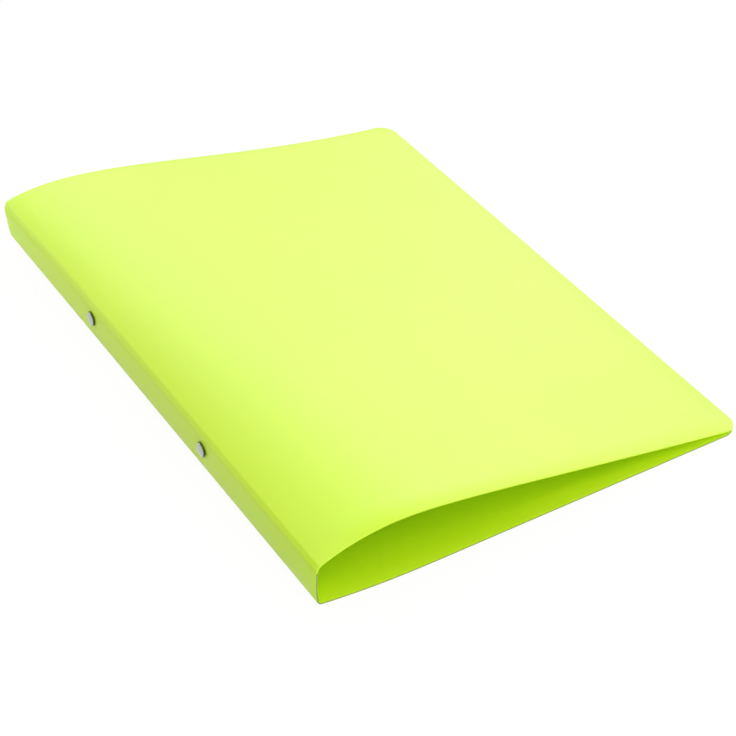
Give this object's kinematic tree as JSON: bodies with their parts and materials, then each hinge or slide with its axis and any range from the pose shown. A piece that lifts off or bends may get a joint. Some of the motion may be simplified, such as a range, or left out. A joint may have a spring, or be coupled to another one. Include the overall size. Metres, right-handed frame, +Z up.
{
  "type": "two-ring binder",
  "caption": "Ring binder lying closed: a creased plastic cover bowed over a steel ring mechanism riveted inside its spine. The covers and the rings open.",
  "frame": {"origin": "middle of the footprint of the closed binder, on the table", "axes": "+X from the spine to the fore edge, +Y along the spine with the end nearer the camera at -Y, +Z up"},
  "size_m": [0.2436, 0.318, 0.0361],
  "materials": {
    "cover_plastic": "lime polypropylene sheet, fine matt grain, slightly translucent",
    "nickel_steel": "nickel-plated spring steel strip",
    "ring_wire": "bright nickel-plated wire",
    "rivet_nickel": "bright nickel-plated tubular rivet"
  },
  "bodies": {
    "back": {"back_cover": "cover_plastic"},
    "spine": {"spine_panel": "cover_plastic", "ring_arch": "nickel_steel", "rivet_near": "rivet_nickel", "rivet_far": "rivet_nickel"},
    "front": {"front_cover": "cover_plastic"},
    "upper_jaw": {"upper_blade": "nickel_steel", "upper_half_ring_near": "ring_wire", "upper_half_ring_far": "ring_wire"},
    "lower_jaw": {"lower_blade": "nickel_steel", "lower_half_ring_near": "ring_wire", "lower_half_ring_far": "ring_wire"}
  },
  "joints": [
    {"name": "spine_hinge", "type": "hinge", "parent": "back", "child": "spine", "pos_m": [-0.11875, 0, 0.0045], "axis": [0, -1, 0], "range_deg": [0, 180]},
    {"name": "front_hinge", "type": "hinge", "parent": "spine", "child": "front", "pos_m": [-0.11875, 0, 0.0271], "axis": [0, -1, 0], "range_deg": [0, 180]},
    {"name": "upper_jaw_pivot", "type": "hinge", "parent": "spine", "child": "upper_jaw", "pos_m": [-0.1172, 0, 0.0241], "axis": [0, -1, 0], "range_deg": [0, 10]},
    {"name": "lower_jaw_pivot", "type": "hinge", "parent": "spine", "child": "lower_jaw", "pos_m": [-0.1172, 0, 0.0109], "axis": [0, 1, 0], "range_deg": [0, 10]}
  ],
  "couplings": [
    {"joint": "lower_jaw_pivot", "follows": "upper_jaw_pivot", "ratio": 1}
  ]
}
